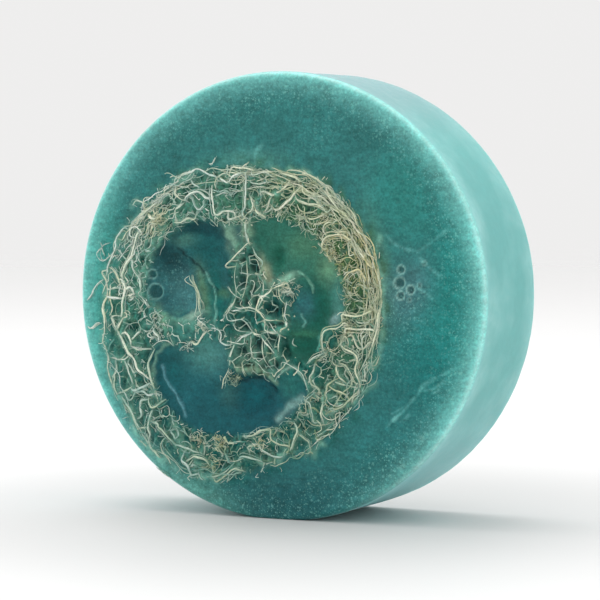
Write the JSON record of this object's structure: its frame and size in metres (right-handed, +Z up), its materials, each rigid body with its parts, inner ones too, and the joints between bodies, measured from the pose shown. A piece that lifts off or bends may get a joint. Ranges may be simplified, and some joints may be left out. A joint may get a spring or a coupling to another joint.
{
  "type": "shaving soap puck",
  "caption": "Round translucent soap puck with a slice of loofah cast into its face, standing on its rim.",
  "frame": {"origin": "on the surface the puck stands on, below the middle of its box", "axes": "+Z up; +Y along the puck's axis, from the poured face with the loofah (front, -Y) to the mould face (back, +Y)"},
  "size_m": [0.076, 0.0236, 0.0757],
  "materials": {
    "soap": "translucent teal glycerine soap, satin, with fine air bubbles near the rim",
    "loofah": "dry cream loofah fibre, matt"
  },
  "bodies": {
    "root": {"soap_ring": "soap", "soap_fill_upper_left": "soap", "soap_fill_upper_right": "soap", "soap_fill_lower": "soap", "loofah_outer_mat": "loofah", "loofah_middle_web": "loofah", "loofah_inner_lining": "loofah", "loofah_top_septum": "loofah", "loofah_left_septum": "loofah", "loofah_right_septum": "loofah", "loofah_core": "loofah"}
  },
  "joints": []
}
